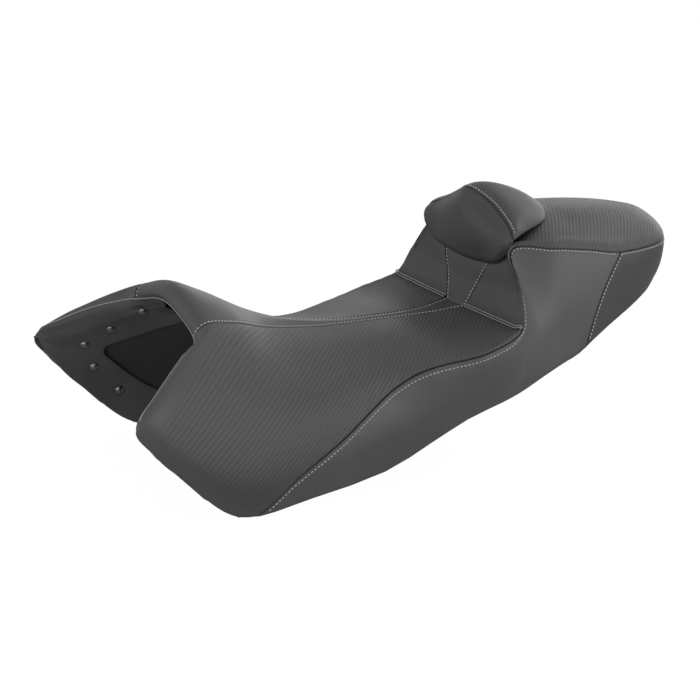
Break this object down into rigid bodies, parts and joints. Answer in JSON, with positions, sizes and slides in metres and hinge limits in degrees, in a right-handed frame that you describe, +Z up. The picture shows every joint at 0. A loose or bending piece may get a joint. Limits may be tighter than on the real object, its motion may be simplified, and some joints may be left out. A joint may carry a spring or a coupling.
{
  "type": "motorcycle seat",
  "caption": "Two-up motorcycle seat with a low rider saddle whose wings straddle the tank, a raised passenger pillion and a lift-out lumbar rest between them.",
  "frame": {"origin": "middle of the lower face of the rubber rest block under the rider, on the seat's plane of symmetry", "axes": "+X to the front of the motorcycle, +Y to the rider's left, +Z up"},
  "size_m": [0.792, 0.3444, 0.3419],
  "materials": {
    "vinyl": "fine grained charcoal vinyl, satin",
    "ribbed_vinyl": "carbon-look ribbed vinyl, satin",
    "welt": "grey vinyl welt, satin",
    "foam": "moulded polyurethane foam",
    "pan": "moulded black polypropylene, fine texture",
    "liner": "dark grey moulded sheet, matt",
    "rubber": "moulded black rubber",
    "steel": "zinc plated",
    "black_steel": "black powder coat"
  },
  "bodies": {
    "seat": {"base_pan": "pan", "left_wing_liner": "liner", "right_wing_liner": "liner", "wing_rivets": "black_steel", "rider_foam": "foam", "pillion_foam": "foam", "center_strip": "vinyl", "left_rider_panel": "ribbed_vinyl", "right_rider_panel": "ribbed_vinyl", "left_riser_panel": "vinyl", "right_riser_panel": "vinyl", "left_side_panel": "vinyl", "right_side_panel": "vinyl", "pillion_top_panel": "ribbed_vinyl", "tail_panel": "vinyl", "left_step_welt": "welt", "right_step_welt": "welt", "cover_hem": "vinyl", "hem_staples": "steel", "center_rest": "rubber", "rest_screws": "steel", "floor_bumpers": "rubber", "rear_bumpers": "rubber", "bumper_screws": "steel", "front_bracket": "black_steel", "front_pin": "steel", "bracket_screws": "steel", "striker_plate": "black_steel", "latch_striker": "steel", "striker_screws": "steel", "receiver_frame": "black_steel", "receiver_screws": "steel"},
    "lumbar_rest": {"lumbar_front_cover": "vinyl", "lumbar_rear_cover": "vinyl", "lumbar_foam": "foam", "lumbar_board": "pan", "lumbar_posts": "steel"}
  },
  "joints": [
    {"name": "lumbar_rest_lift", "type": "slide", "parent": "seat", "child": "lumbar_rest", "axis": [0, 0, 1], "range_m": [0, 0.05]}
  ]
}
